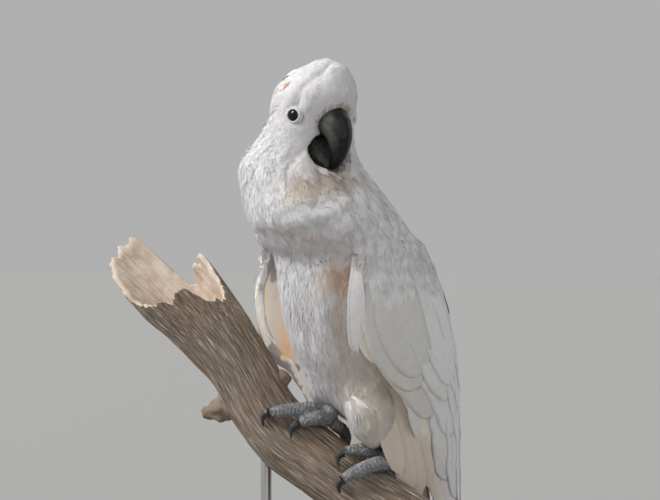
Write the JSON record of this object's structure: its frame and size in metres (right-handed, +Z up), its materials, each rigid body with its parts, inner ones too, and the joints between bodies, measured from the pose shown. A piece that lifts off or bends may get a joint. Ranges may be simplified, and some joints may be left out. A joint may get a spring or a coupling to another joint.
{
  "type": "salmon-crested cockatoo",
  "caption": "Life-size still model of a white cockatoo with a folded crest, head turned to its left, gripping a cut length of broken branch on a flat round stand",
  "frame": {"origin": "middle of the underside of the stand's round base", "axes": "+Z up; the bird's body faces -Y, its left side is +X, and its head is turned to its left, towards +X"},
  "size_m": [0.3461, 0.26, 0.5024],
  "materials": {
    "plumage": "soft matt white feathers with a faint peach tint",
    "plumage_warm": "yellow-orange underwing and salmon crest feathers",
    "eye_skin": "bare pale skin ring round the eye",
    "bill": "black-grey horn with a powdery bloom and a satin ridge",
    "eye": "wet dark brown, almost black",
    "foot_skin": "dark grey scaly skin with pale scale edges",
    "claw": "smooth black horn",
    "branch": "weathered grey-brown wood without bark, long fibres and cracks",
    "stand_wood": "dark stained satin wood",
    "stand_metal": "satin steel rod"
  },
  "bodies": {
    "root": {"head": "plumage", "crest": "plumage", "neck": "plumage", "trunk": "plumage", "tail": "plumage", "wing_left": "plumage", "wing_right": "plumage", "thigh_left": "plumage", "thigh_right": "plumage", "beak_upper": "bill", "beak_lower": "bill", "eye_left": "eye", "eye_right": "eye", "foot_left": "foot_skin", "foot_right": "foot_skin", "claw_outer_front_left": "claw", "claw_inner_front_left": "claw", "claw_outer_back_left": "claw", "claw_inner_back_left": "claw", "claw_outer_front_right": "claw", "claw_inner_front_right": "claw", "claw_outer_back_right": "claw", "claw_inner_back_right": "claw", "perch": "branch", "stand_base": "stand_wood", "stand_rod_tall": "stand_metal", "stand_rod_short": "stand_metal"}
  },
  "joints": []
}
